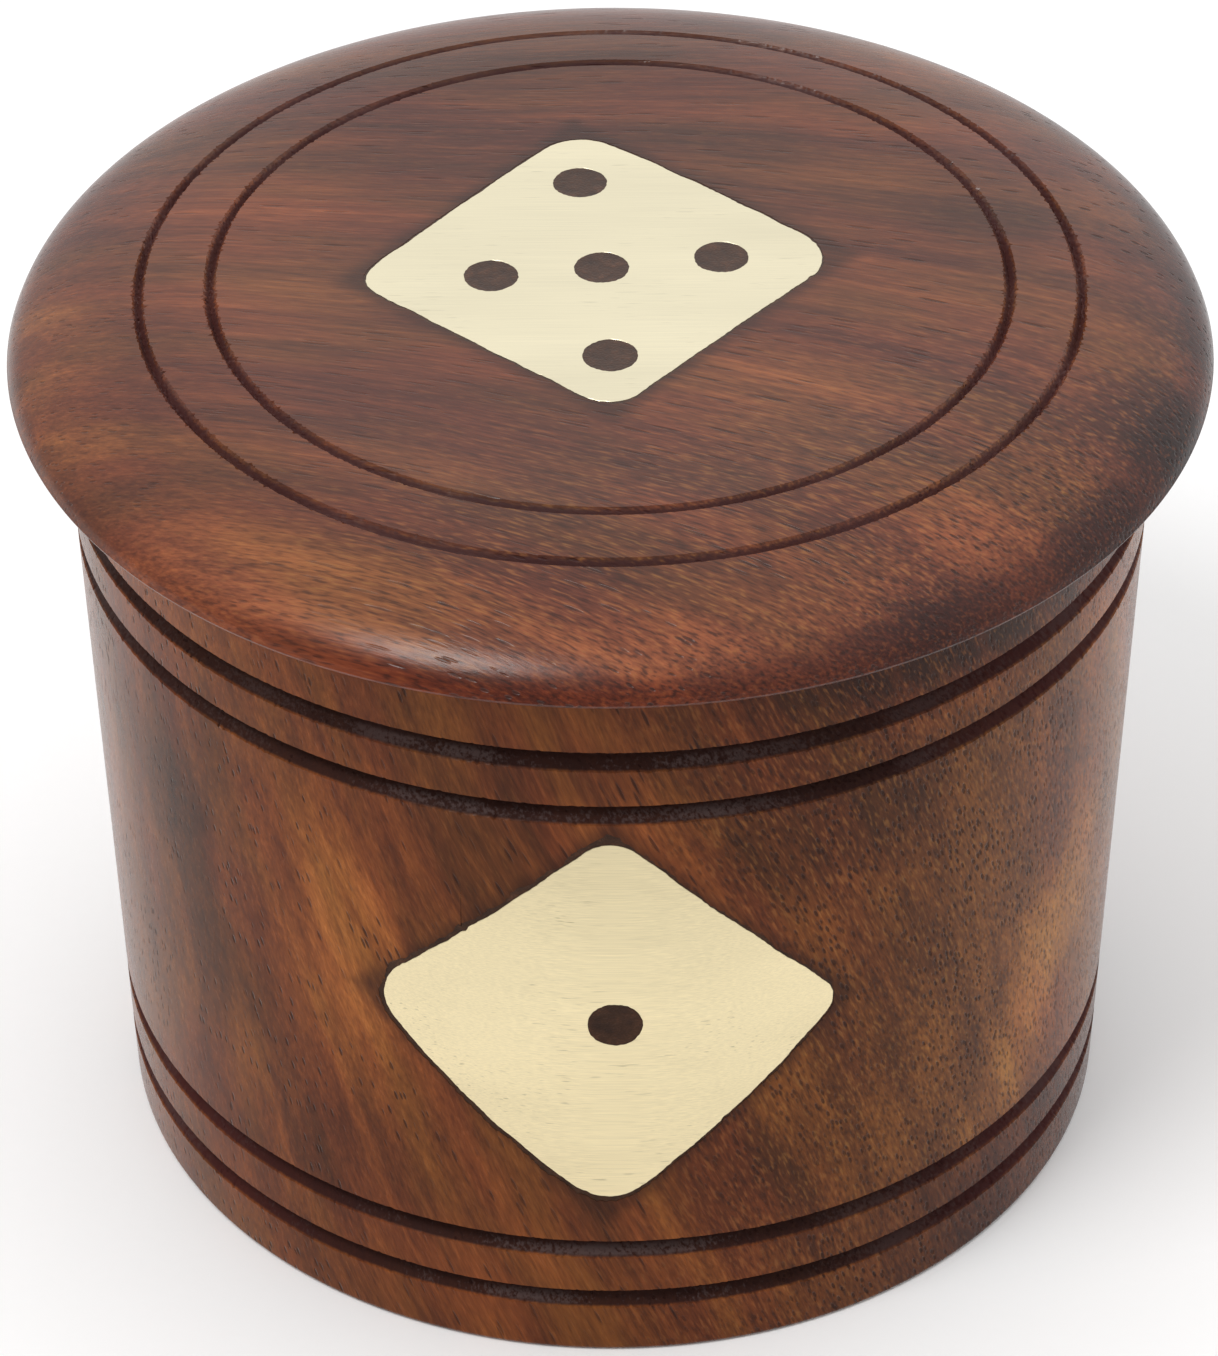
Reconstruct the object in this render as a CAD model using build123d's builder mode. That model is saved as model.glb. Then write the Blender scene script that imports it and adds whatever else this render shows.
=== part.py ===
from build123d import *
import os
from math import atan2, cos, degrees, radians, sin

# A turned wooden dice cup with a loose lid, brass inlays and five wooden dice.
# Millimetres, +Z up. The origin is the centre of the foot, and the front inlay faces -Y.

# ---- cup ----
FOOT_RADIUS = 38.3
WALL_FLARE = 0.0334  # the wall grows this much in radius for each millimetre of height
CUP_HEIGHT = 66.1
CAVITY_RADIUS = 32.5
FLOOR_HEIGHT = 8.0
FLOOR_CORNER = 2.0
EDGE_ROUND = 0.5
MOUTH_CHAMFER = 0.6
WALL_GROOVE_TOPS = (59.2, 54.3, 11.6, 6.4)  # heights of the sharp upper edges
WALL_GROOVE_WIDTH = 1.8
WALL_GROOVE_DEPTH = 1.1
WALL_GROOVE_LEAN = 0.25  # the root of each groove lies this far above its middle

# ---- lid ----
LID_RADIUS = 44.45
LID_THICKNESS = 5.9
LID_FLAT_RADIUS = 27.0  # the top is flat to here, then falls away in a quarter ellipse
LID_ARRIS = 0.35
SPIGOT_RADIUS = 32.15
SPIGOT_LENGTH = 5.0
SPIGOT_CHAMFER = 0.6
LID_GROOVE_RADII = (29.3, 34.55)
LID_GROOVE_WIDTH = 1.0
LID_GROOVE_DEPTH = 0.6
GROOVE_ROOT = 0.15  # radius at the bottom of every groove

# ---- inlays: brass plates about an inch square, stood on one corner in a bed of dark filler ----
PLATE_HALF_WIDTH = 18.2  # to the sharp corners, before they are rounded
PLATE_HALF_HEIGHT = 18.7
PLATE_CORNER = 3.5
PLATE_THICKNESS = 1.5
FILLER_RIM = 0.5
FILLER_BED = 0.2
PIP_DIAMETER = 4.0
LID_PLATE_CENTRE = (-1.0, 1.0)
LID_PLATE_TURN = 4.0  # degrees off square, as set by hand
LID_PIPS = {
    "centre": (-0.6, 0.9),
    "back": (-2.2, 12.3),
    "left": (-8.7, -0.1),
    "right": (8.2, 2.2),
    "front": (0.0, -10.4),
}
FRONT_PLATE_CENTRE = (-0.4, 33.3)
FRONT_PLATE_TURN = -0.8
FRONT_PIP_PLACE = (0.1, 33.5)

# ---- dice ----
DIE_SIZE = 16.0
DIE_ROUND = 1.5
DIE_PIP_DIAMETER = 2.4
DIE_PIP_DEPTH = 1.5
DIE_PIP_STEP = 4.2
# place on the floor, turn about Z, and the numbers on top, in front and on the right
DICE = (
    ((-18.5, -3.5), 38.0, (5, 4, 1)),
    ((-5.5, -16.5), 36.0, (1, 2, 3)),
    ((14.5, -10.5), 12.0, (6, 3, 2)),
    ((12.0, 12.0), -18.0, (4, 1, 5)),
    ((-10.0, 16.0), -20.0, (3, 2, 6)),
)

TOTAL_HEIGHT = CUP_HEIGHT + LID_THICKNESS
POCKET_DEPTH = PLATE_THICKNESS + FILLER_BED
REACH = LID_RADIUS + 5  # longer than anything that a front cut has to pass through

os.makedirs("parts", exist_ok=True)


def finish(builder, name):
    """Label a finished piece and write it out."""
    builder.part.label = name
    export_step(builder.part, f"parts/{name}.step")


# ---- shared sections ----
def wall_radius(height):
    """Outer radius of the cup at a height."""
    return FOOT_RADIUS + WALL_FLARE * height


def corner_at(section, radius, height):
    """The corner of a section nearest to a place."""
    return section.vertices().sort_by_distance((radius, height))[0]


def groove_section(width, depth, lean=0.0):
    """A V groove, open outwards: its mouth is on the local Y axis and its root points along -X."""
    half = width / 2
    with BuildSketch() as section:
        Polygon((depth, -half), (depth, half), (0, half), (-depth, lean), (0, -half), align=None)
        fillet(section.vertices().sort_by(Axis.X)[0], GROOVE_ROOT)
    return section.sketch


def plate_outline(plane, half_width, spread=0.0):
    """A square stood on one corner with its corners rounded, grown outwards by spread."""
    with BuildSketch(plane) as outline:
        Polygon(
            (-half_width, 0),
            (0, -PLATE_HALF_HEIGHT),
            (half_width, 0),
            (0, PLATE_HALF_HEIGHT),
            align=None,
        )
        fillet(outline.vertices(), PLATE_CORNER)
        if spread:
            offset(amount=spread)
    return outline.sketch


def wall_skin(depth):
    """Section of a skin on the outside of the cup wall, measured inwards from the surface."""
    with BuildSketch(Plane.XZ) as skin:
        Polygon(
            (wall_radius(0) - depth, 0),
            (wall_radius(0), 0),
            (wall_radius(CUP_HEIGHT), CUP_HEIGHT),
            (wall_radius(CUP_HEIGHT) - depth, CUP_HEIGHT),
            align=None,
        )
    return skin.sketch


def turned(degrees_off, up):
    """A unit vector turned by an angle from +X towards up."""
    return Vector(1, 0, 0) * cos(radians(degrees_off)) + Vector(*up) * sin(radians(degrees_off))


BEND_RADIUS = wall_radius(FRONT_PLATE_CENTRE[1])
BENT_HALF_WIDTH = BEND_RADIUS * sin(PLATE_HALF_WIDTH / BEND_RADIUS)  # seen from the front
LID_PLATE_PLANE = Plane(
    origin=(*LID_PLATE_CENTRE, TOTAL_HEIGHT), x_dir=turned(LID_PLATE_TURN, (0, 1, 0))
)
FRONT_PLATE_PLANE = Plane(
    origin=(FRONT_PLATE_CENTRE[0], 0, FRONT_PLATE_CENTRE[1]),
    x_dir=turned(FRONT_PLATE_TURN, (0, 0, 1)),
    z_dir=(0, -1, 0),
)
FRONT_PIP_PLANE = Plane(
    origin=(FRONT_PIP_PLACE[0], 0, FRONT_PIP_PLACE[1]), x_dir=(1, 0, 0), z_dir=(0, -1, 0)
)


# ---- the front inlay: bent to the wall, so each piece is cut from a skin of the cup ----
with BuildPart() as front_pocket:
    extrude(plate_outline(FRONT_PLATE_PLANE, BENT_HALF_WIDTH, FILLER_RIM), amount=REACH)
    revolve(wall_skin(POCKET_DEPTH), axis=Axis.Z, mode=Mode.INTERSECT)

with BuildPart() as front_pip:
    with BuildSketch(FRONT_PIP_PLANE):
        Circle(PIP_DIAMETER / 2)
    extrude(amount=REACH)
    revolve(wall_skin(PLATE_THICKNESS), axis=Axis.Z, mode=Mode.INTERSECT)
finish(front_pip, "front_pip")

with BuildPart() as front_inlay_plate:
    extrude(plate_outline(FRONT_PLATE_PLANE, BENT_HALF_WIDTH), amount=REACH)
    revolve(wall_skin(PLATE_THICKNESS), axis=Axis.Z, mode=Mode.INTERSECT)
    add(front_pip.part, mode=Mode.SUBTRACT)
finish(front_inlay_plate, "front_inlay_plate")

with BuildPart() as front_inlay_filler:
    add(front_pocket.part)
    add(front_inlay_plate.part, mode=Mode.SUBTRACT)
    add(front_pip.part, mode=Mode.SUBTRACT)
finish(front_inlay_filler, "front_inlay_filler")


# ---- the cup ----
with BuildPart() as cup_body:
    with BuildSketch(Plane.XZ) as cup_section:
        Polygon(
            (0, 0),
            (wall_radius(0), 0),
            (wall_radius(CUP_HEIGHT), CUP_HEIGHT),
            (CAVITY_RADIUS, CUP_HEIGHT),
            (CAVITY_RADIUS, FLOOR_HEIGHT),
            (0, FLOOR_HEIGHT),
            align=None,
        )
        fillet(corner_at(cup_section, wall_radius(0), 0), EDGE_ROUND)
        fillet(corner_at(cup_section, wall_radius(CUP_HEIGHT), CUP_HEIGHT), EDGE_ROUND)
        fillet(corner_at(cup_section, CAVITY_RADIUS, FLOOR_HEIGHT), FLOOR_CORNER)
        chamfer(corner_at(cup_section, CAVITY_RADIUS, CUP_HEIGHT), MOUTH_CHAMFER)
        for groove_top in WALL_GROOVE_TOPS:
            groove_middle = groove_top - WALL_GROOVE_WIDTH / 2
            with Locations((wall_radius(groove_middle), groove_middle)):
                add(
                    groove_section(WALL_GROOVE_WIDTH, WALL_GROOVE_DEPTH, WALL_GROOVE_LEAN),
                    mode=Mode.SUBTRACT,
                )
    revolve(axis=Axis.Z)
    add(front_pocket.part, mode=Mode.SUBTRACT)
finish(cup_body, "cup_body")


# ---- the lid inlay: flat, flush with the top of the lid ----
with BuildPart() as lid_pocket:
    extrude(plate_outline(LID_PLATE_PLANE, PLATE_HALF_WIDTH, FILLER_RIM), amount=-POCKET_DEPTH)

with BuildPart() as lid_inlay_plate:
    extrude(plate_outline(LID_PLATE_PLANE, PLATE_HALF_WIDTH), amount=-PLATE_THICKNESS)
    with BuildSketch(Plane.XY.offset(TOTAL_HEIGHT)):
        with Locations(*LID_PIPS.values()):
            Circle(PIP_DIAMETER / 2)
    extrude(amount=-PLATE_THICKNESS, mode=Mode.SUBTRACT)
finish(lid_inlay_plate, "lid_inlay_plate")

with BuildPart() as lid_inlay_filler:
    add(lid_pocket.part)
    extrude(
        plate_outline(LID_PLATE_PLANE, PLATE_HALF_WIDTH),
        amount=-PLATE_THICKNESS,
        mode=Mode.SUBTRACT,
    )
finish(lid_inlay_filler, "lid_inlay_filler")

for side, place in LID_PIPS.items():
    with BuildPart() as lid_pip:
        with BuildSketch(Plane.XY.offset(TOTAL_HEIGHT)):
            with Locations(place):
                Circle(PIP_DIAMETER / 2)
        extrude(amount=-PLATE_THICKNESS)
    finish(lid_pip, f"lid_pip_{side}")


# ---- the lid ----
def lid_top_height(radius):
    """Height of the lid's upper surface at a radius, out on the quarter ellipse."""
    along = (radius - LID_FLAT_RADIUS) / (LID_RADIUS - LID_FLAT_RADIUS)
    return CUP_HEIGHT + LID_THICKNESS * (1 - along**2) ** 0.5


def lid_top_slope(radius):
    """Slope of the lid's upper surface at a radius, in degrees."""
    step = 0.01
    return degrees(atan2(lid_top_height(radius + step) - lid_top_height(radius), step))


with BuildPart() as lid:
    with BuildSketch(Plane.XZ) as lid_section:
        with BuildLine():
            Line((0, TOTAL_HEIGHT), (LID_FLAT_RADIUS, TOTAL_HEIGHT))
            EllipticalCenterArc(
                (LID_FLAT_RADIUS, CUP_HEIGHT),
                LID_RADIUS - LID_FLAT_RADIUS,
                LID_THICKNESS,
                arc_size=90,
            )
            Polyline(
                (LID_RADIUS, CUP_HEIGHT),
                (SPIGOT_RADIUS, CUP_HEIGHT),
                (SPIGOT_RADIUS, CUP_HEIGHT - SPIGOT_LENGTH),
                (0, CUP_HEIGHT - SPIGOT_LENGTH),
                (0, TOTAL_HEIGHT),
            )
        make_face()
        chamfer(corner_at(lid_section, SPIGOT_RADIUS, CUP_HEIGHT - SPIGOT_LENGTH), SPIGOT_CHAMFER)
        fillet(corner_at(lid_section, LID_RADIUS, CUP_HEIGHT), LID_ARRIS)
        for groove_radius in LID_GROOVE_RADII:
            mouth = Location(
                (groove_radius, lid_top_height(groove_radius)), 90 + lid_top_slope(groove_radius)
            )
            with Locations(mouth):
                add(groove_section(LID_GROOVE_WIDTH, LID_GROOVE_DEPTH), mode=Mode.SUBTRACT)
    revolve(axis=Axis.Z)
    add(lid_pocket.part, mode=Mode.SUBTRACT)
finish(lid, "lid")


# ---- the dice: wooden cubes with brass pins, opposite faces adding up to seven ----
def pip_places(number):
    """Where the pips of a number sit on a face."""
    near, far = -DIE_PIP_STEP, DIE_PIP_STEP
    places = [(0, 0)] if number % 2 else []
    if number > 1:
        places += [(near, near), (far, far)]
    if number > 3:
        places += [(near, far), (far, near)]
    if number == 6:
        places += [(near, 0), (far, 0)]
    return places


def die_faces(place, turn, numbers):
    """The outward plane of each face of a die, with its number."""
    centre = Vector(*place, FLOOR_HEIGHT + DIE_SIZE / 2)
    right = turned(turn, (0, 1, 0))
    up = Vector(0, 0, 1)
    back = up.cross(right)
    top_number, front_number, right_number = numbers
    faces = []
    for number, normal, across in (
        (top_number, up, right),
        (front_number, -back, right),
        (right_number, right, back),
    ):
        faces.append((number, Plane(centre + normal * (DIE_SIZE / 2), across, normal)))
        faces.append((7 - number, Plane(centre - normal * (DIE_SIZE / 2), across, -normal)))
    return faces


for count, (place, turn, numbers) in enumerate(DICE, start=1):
    with BuildPart() as die_pips:
        for number, face_plane in die_faces(place, turn, numbers):
            with BuildSketch(face_plane):
                with Locations(*pip_places(number)):
                    Circle(DIE_PIP_DIAMETER / 2)
            extrude(amount=-DIE_PIP_DEPTH)
    finish(die_pips, f"die_{count}_pips")

    seat = Plane((*place, FLOOR_HEIGHT + DIE_SIZE / 2), turned(turn, (0, 1, 0)))
    with BuildPart() as die:
        with Locations(seat):
            Box(DIE_SIZE, DIE_SIZE, DIE_SIZE)
        fillet(die.edges(), DIE_ROUND)
        add(die_pips.part, mode=Mode.SUBTRACT)
    finish(die, f"die_{count}")
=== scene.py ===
import math

import bmesh
import bpy
import numpy as np
from mathutils import Matrix, Vector


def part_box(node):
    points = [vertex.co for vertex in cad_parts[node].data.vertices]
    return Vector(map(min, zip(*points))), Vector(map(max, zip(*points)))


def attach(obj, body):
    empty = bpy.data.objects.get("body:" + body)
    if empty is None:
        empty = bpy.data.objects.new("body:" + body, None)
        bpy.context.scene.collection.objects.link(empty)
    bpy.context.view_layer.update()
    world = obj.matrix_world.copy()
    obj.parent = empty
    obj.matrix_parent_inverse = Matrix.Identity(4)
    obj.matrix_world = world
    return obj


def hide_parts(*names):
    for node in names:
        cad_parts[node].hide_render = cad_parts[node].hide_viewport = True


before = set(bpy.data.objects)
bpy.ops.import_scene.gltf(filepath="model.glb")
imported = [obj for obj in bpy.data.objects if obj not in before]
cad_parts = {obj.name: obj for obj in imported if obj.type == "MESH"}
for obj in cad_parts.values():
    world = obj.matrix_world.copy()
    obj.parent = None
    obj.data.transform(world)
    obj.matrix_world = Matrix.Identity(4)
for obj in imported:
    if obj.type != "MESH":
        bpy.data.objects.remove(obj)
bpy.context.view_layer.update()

# The looks of a turned wooden dice cup. Mesh code works in millimetres and scales to metres
# when it makes an object. Every random draw comes from a generator with a fixed seed.

MM = 0.001  # metres in a millimetre


# ---------- sizes, from the CAD model where it holds them ------
def box_mm(node):
    """Lowest and highest corner of a CAD node, in millimetres."""
    low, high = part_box(node)
    return low / MM, high / MM


def middle_mm(node):
    """Centre of a CAD node's box, in millimetres."""
    low, high = box_mm(node)
    return (low + high) / 2


CUP_HEIGHT = box_mm("cup_body")[1].z
TOTAL_HEIGHT = box_mm("lid")[1].z
SPIGOT_END = box_mm("lid")[0].z
LID_RADIUS = box_mm("lid")[1].x
LID_THICKNESS = TOTAL_HEIGHT - CUP_HEIGHT
LID_FLAT_RADIUS = 27.0
SPIGOT_RADIUS = 32.15
FOOT_RADIUS = 38.3
WALL_FLARE = 0.0334
CAVITY_RADIUS = 32.5
FLOOR_HEIGHT = box_mm("die_1")[0].z
WALL_GROOVE_TOPS = (59.2, 54.3, 11.6, 6.4)
WALL_GROOVE_WIDTH = 1.8
WALL_GROOVE_DEPTH = 1.1
LID_GROOVE_RADII = (29.3, 34.55)
LID_GROOVE_WIDTH = 0.9
LID_GROOVE_DEPTH = 0.6
PLATE_THICKNESS = 1.5
POCKET_DEPTH = 1.7
PIP_RADIUS = 2.0
DIE_SIZE = 16.0
DIE_ROUND = 1.5
DIE_PIP_RADIUS = 1.2
DIE_PIP_DEPTH = 1.5
DIE_PIP_STEP = 4.2

SEGMENTS = 1440  # steps round a turned piece


def wall_radius(height):
    """Outer radius of the cup at a height."""
    return FOOT_RADIUS + WALL_FLARE * height


BEND_RADIUS = wall_radius(middle_mm("front_inlay_plate").z)


# ---------- mesh helpers ----------
def smooth(mesh, sharp_degrees):
    """Shade a mesh smooth, except across edges sharper than an angle."""
    mesh.shade_smooth()
    mesh.set_sharp_from_angle(angle=math.radians(sharp_degrees))


def make_object(name, bm, sharp_degrees=35.0):
    """Turn a bmesh in millimetres into an object in metres."""
    bmesh.ops.recalc_face_normals(bm, faces=bm.faces)
    mesh = bpy.data.meshes.new(name)
    bm.to_mesh(mesh)
    bm.free()
    mesh.transform(Matrix.Scale(MM, 4))
    smooth(mesh, sharp_degrees)
    thing = bpy.data.objects.new(name, mesh)
    bpy.context.scene.collection.objects.link(thing)
    return thing


def carve(target, cutter, sharp_degrees=35.0):
    """Cut one object out of another for good, and remove the cutter."""
    cut = target.modifiers.new("cut", "BOOLEAN")
    cut.operation = "DIFFERENCE"
    cut.solver = "MANIFOLD"
    cut.object = cutter
    bpy.context.view_layer.update()
    evaluated = target.evaluated_get(bpy.context.evaluated_depsgraph_get())
    mesh = bpy.data.meshes.new_from_object(evaluated)
    target.modifiers.clear()
    target.data = mesh
    smooth(mesh, sharp_degrees)
    bpy.data.objects.remove(cutter)


def bridge(bm, lower, upper):
    """Quads between two rings with the same number of points."""
    for i in range(len(lower)):
        j = (i + 1) % len(lower)
        bm.faces.new((lower[i], lower[j], upper[j], upper[i]))


def ring_noise(rng, count, low, high):
    """Smooth noise that closes on itself, with waves from low to high per turn, about -2 to 2."""
    spectrum = np.zeros(count // 2 + 1, complex)
    waves = np.arange(low, min(high, count // 2 - 1) + 1)
    spectrum[waves] = np.exp(2j * math.pi * rng.random(len(waves))) * rng.random(len(waves))
    values = np.fft.irfft(spectrum, count)
    return values / values.std()


def lathe(name, radii, heights):
    """A turned solid: each row is a ring, and the first and last rings close onto the axis."""
    rings, steps = radii.shape
    angles = np.linspace(0, 2 * math.pi, steps, endpoint=False)
    bm = bmesh.new()
    rows = []
    for row in range(rings):
        xs = radii[row] * np.cos(angles)
        ys = radii[row] * np.sin(angles)
        rows.append([bm.verts.new((x, y, z)) for x, y, z in zip(xs, ys, heights[row])])
    for lower, upper in zip(rows, rows[1:]):
        bridge(bm, lower, upper)
    for row, end in ((0, rows[0]), (rings - 1, rows[-1])):
        pole = bm.verts.new((0, 0, float(heights[row].mean())))
        for i in range(steps):
            bm.faces.new((end[i], end[(i + 1) % steps], pole))
    return make_object(name, bm)


class Profile:
    """The section of a turned piece: points from one end of the axis to the other.

    A point in a groove is marked with the groove's number and its share of the way across."""

    def __init__(self):
        self.points = []

    def to(self, radius, height, mark=None):
        """Add a point."""
        self.points.append((radius, height, mark))

    def line(self, radius, height, steps):
        """A straight run with points along it."""
        r0, z0, _ = self.points[-1]
        for step in range(1, steps + 1):
            share = step / steps
            self.to(r0 + (radius - r0) * share, z0 + (height - z0) * share)

    def arc(self, radius, height, size, start, end, steps=6):
        """A rounding about a centre, between two angles in degrees."""
        for step in range(steps + 1):
            angle = math.radians(start + (end - start) * step / steps)
            self.to(radius + size * math.cos(angle), height + size * math.sin(angle))

    def grid(self):
        """Radii and heights of every ring, and the rows that are in a groove, with their marks."""
        section = np.array([point[:2] for point in self.points])
        radii, heights = [np.repeat(column[:, None], SEGMENTS, axis=1) for column in section.T]
        grooved = [(row, *p[2]) for row, p in enumerate(self.points) if p[2] is not None]
        return radii, heights, grooved


def groove_depth(share, root):
    """Depth of a V groove across its mouth, from 0 to 1 to 0, with a rounded root."""
    rising = share / root
    falling = (1 - share) / (1 - root)
    sharpness = 14.0
    return -math.log(math.exp(-sharpness * rising) + math.exp(-sharpness * falling)) / sharpness


# ---------- turned wood ----------
POLE_RADIUS = 0.5  # the innermost rings of a turned piece, which close onto its axis
GROOVE_STEPS = 12
GROOVE_LIP = 0.1  # share of a groove's mouth, at either edge, that has no fuzz
WALL_GROOVE_ROOT = 0.64  # the root lies this far up the mouth, so the upper side is steeper
WALL_WANDER = 0.07  # how much a wall groove's depth changes on the way round, as a share
LID_WANDER = 0.10
WALL_TEARS = (0.06, 0.03)  # how torn the lower and the upper edge of a wall groove are
LID_TEARS = (0.12, 0.12)  # how torn the inner and the outer edge of a lid groove are
TEAR_LIMIT = 0.45  # no edge is torn back further than this
WALL_FUZZ = 0.025  # how rough a wall groove is inside
LID_FUZZ = 0.04
TORN_WAVES = (70, 620)  # waves per turn of torn fibres
FUZZ_WAVES = (160, 700)  # waves per turn of loose fibres in a groove
WANDER_WAVES = (2, 24)  # waves per turn of the tool's wander


def torn_edge(rng, amount):
    """How far each step round an edge is torn back: mostly clean, with small chips."""
    rough = ring_noise(rng, SEGMENTS, *TORN_WAVES)
    wander = ring_noise(rng, SEGMENTS, *WANDER_WAVES)
    torn = amount * (0.25 * wander + 0.35 * rough + 0.9 * np.clip(rough - 0.9, 0, 2))
    return np.minimum(torn, TEAR_LIMIT - 0.05)


def worn_grooves(rng, count, wander, tears, across_grain=1.0):
    """For each groove, all the way round: its depth as a share, and how torn its edges are."""
    grooves = []
    for _ in range(count):
        deeper = 1 + wander * ring_noise(rng, SEGMENTS, *WANDER_WAVES)
        first, second = [torn_edge(rng, tear) * across_grain for tear in tears]
        grooves.append((deeper, first, second))
    return grooves


def cup_profile():
    """Section of the cup, from the middle of the foot round to the middle of the floor inside."""
    profile = Profile()
    foot_round = 0.5
    foot_flat = FOOT_RADIUS - 1.4
    ring_gap = 6
    profile.to(POLE_RADIUS, 0)
    profile.line(foot_flat, 0, 4)
    profile.arc(wall_radius(0) - foot_round, foot_round, foot_round, -90, 0, 8)
    for number, top in enumerate(sorted(WALL_GROOVE_TOPS)):
        bottom = top - WALL_GROOVE_WIDTH
        sound = bottom - TEAR_LIMIT
        run = sound - profile.points[-1][1]
        profile.line(wall_radius(sound), sound, max(2, round(run / ring_gap)))
        for step in range(GROOVE_STEPS + 1):
            share = step / GROOVE_STEPS
            height = bottom + WALL_GROOVE_WIDTH * share
            depth = WALL_GROOVE_DEPTH * max(0.0, groove_depth(share, WALL_GROOVE_ROOT))
            profile.to(wall_radius(height) - depth, height, (number, share))
    rim_round = 0.5
    profile.line(wall_radius(CUP_HEIGHT), CUP_HEIGHT - rim_round, 5)
    profile.arc(wall_radius(CUP_HEIGHT) - rim_round, CUP_HEIGHT - rim_round, rim_round, 0, 90)
    mouth = 0.6
    profile.line(CAVITY_RADIUS + mouth, CUP_HEIGHT, 4)
    profile.line(CAVITY_RADIUS, CUP_HEIGHT - mouth, 2)
    floor_corner = 2.0
    profile.line(CAVITY_RADIUS, FLOOR_HEIGHT + floor_corner, 6)
    profile.arc(CAVITY_RADIUS - floor_corner, FLOOR_HEIGHT + floor_corner, floor_corner, 0, -90)
    profile.line(POLE_RADIUS, FLOOR_HEIGHT, 4)
    return profile


def make_cup():
    """The cup, with its grooves cut across the grain and so a little torn all the way round."""
    rng = np.random.default_rng(11)
    radii, heights, grooved = cup_profile().grid()
    grooves = worn_grooves(rng, len(WALL_GROOVE_TOPS), WALL_WANDER, WALL_TEARS)
    for row, number, share in grooved:
        deeper, lower_edge, upper_edge = grooves[number]
        depth = (wall_radius(heights[row]) - radii[row]) * deeper
        heights[row] += share**4 * upper_edge - (1 - share) ** 4 * lower_edge
        radii[row] = wall_radius(heights[row]) - depth
        if GROOVE_LIP < share < 1 - GROOVE_LIP:
            radii[row] += WALL_FUZZ * ring_noise(rng, SEGMENTS, *FUZZ_WAVES)
    return lathe("cup_body_turned", radii, heights)


def lid_top(radius):
    """Height of the lid's upper side at a radius, or at each of several."""
    along = np.maximum(0.0, (radius - LID_FLAT_RADIUS) / (LID_RADIUS - LID_FLAT_RADIUS))
    return CUP_HEIGHT + LID_THICKNESS * np.sqrt(np.maximum(0.0, 1 - along**2))


def lid_profile():
    """Section of the lid, from the middle of the spigot's end round to the middle of the top."""
    profile = Profile()
    chamfer = 0.6
    profile.to(POLE_RADIUS, SPIGOT_END)
    profile.line(SPIGOT_RADIUS - chamfer, SPIGOT_END, 4)
    profile.line(SPIGOT_RADIUS, SPIGOT_END + chamfer, 2)
    profile.line(SPIGOT_RADIUS, CUP_HEIGHT, 5)
    arris = 0.5
    profile.line(LID_RADIUS - arris, CUP_HEIGHT, 8)
    profile.arc(LID_RADIUS - arris, CUP_HEIGHT + arris, arris, -90, -10, 6)
    quarter_steps = 44
    lowest_angle = 4
    grooves = sorted(LID_GROOVE_RADII, reverse=True)
    # rings up the quarter ellipse are even in angle, and skip the grooves
    rings = []
    for step in range(1, quarter_steps):
        angle = math.radians(lowest_angle + (90 - lowest_angle) * step / quarter_steps)
        radius = LID_FLAT_RADIUS + (LID_RADIUS - LID_FLAT_RADIUS) * math.cos(angle)
        if all(abs(radius - groove) > LID_GROOVE_WIDTH / 2 + TEAR_LIMIT for groove in grooves):
            rings.append((radius, None))
    for number, groove in enumerate(grooves):
        for step in range(GROOVE_STEPS + 1):
            share = step / GROOVE_STEPS
            rings.append((groove + LID_GROOVE_WIDTH * (0.5 - share), (number, share)))
    for radius, mark in sorted(rings, key=lambda ring: -ring[0]):
        depth = 0.0
        if mark is not None:
            depth = LID_GROOVE_DEPTH * max(0.0, groove_depth(mark[1], 0.5))
        profile.to(radius, lid_top(radius) - depth, mark)
    profile.line(POLE_RADIUS, TOTAL_HEIGHT, 4)
    return profile


def make_lid():
    """The lid, whose grooves are clean along the grain and torn where they cross it."""
    rng = np.random.default_rng(23)
    radii, heights, grooved = lid_profile().grid()
    angles = np.linspace(0, 2 * math.pi, SEGMENTS, endpoint=False)
    across_grain = 0.15 + 0.85 * np.cos(angles) ** 2
    grooves = worn_grooves(rng, len(LID_GROOVE_RADII), LID_WANDER, LID_TEARS, across_grain)
    for row, number, share in grooved:
        deeper, inner_edge, outer_edge = grooves[number]
        depth = (lid_top(radii[row]) - heights[row]) * deeper
        radii[row] += (1 - share) ** 4 * outer_edge - share**4 * inner_edge
        heights[row] = lid_top(radii[row]) - depth
        if GROOVE_LIP < share < 1 - GROOVE_LIP:
            heights[row] += LID_FUZZ * across_grain * ring_noise(rng, SEGMENTS, *FUZZ_WAVES)
    return lathe("lid_turned", radii, heights)


# ---------- sawn outlines ----------
OUTLINE_STEP = 0.2


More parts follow.
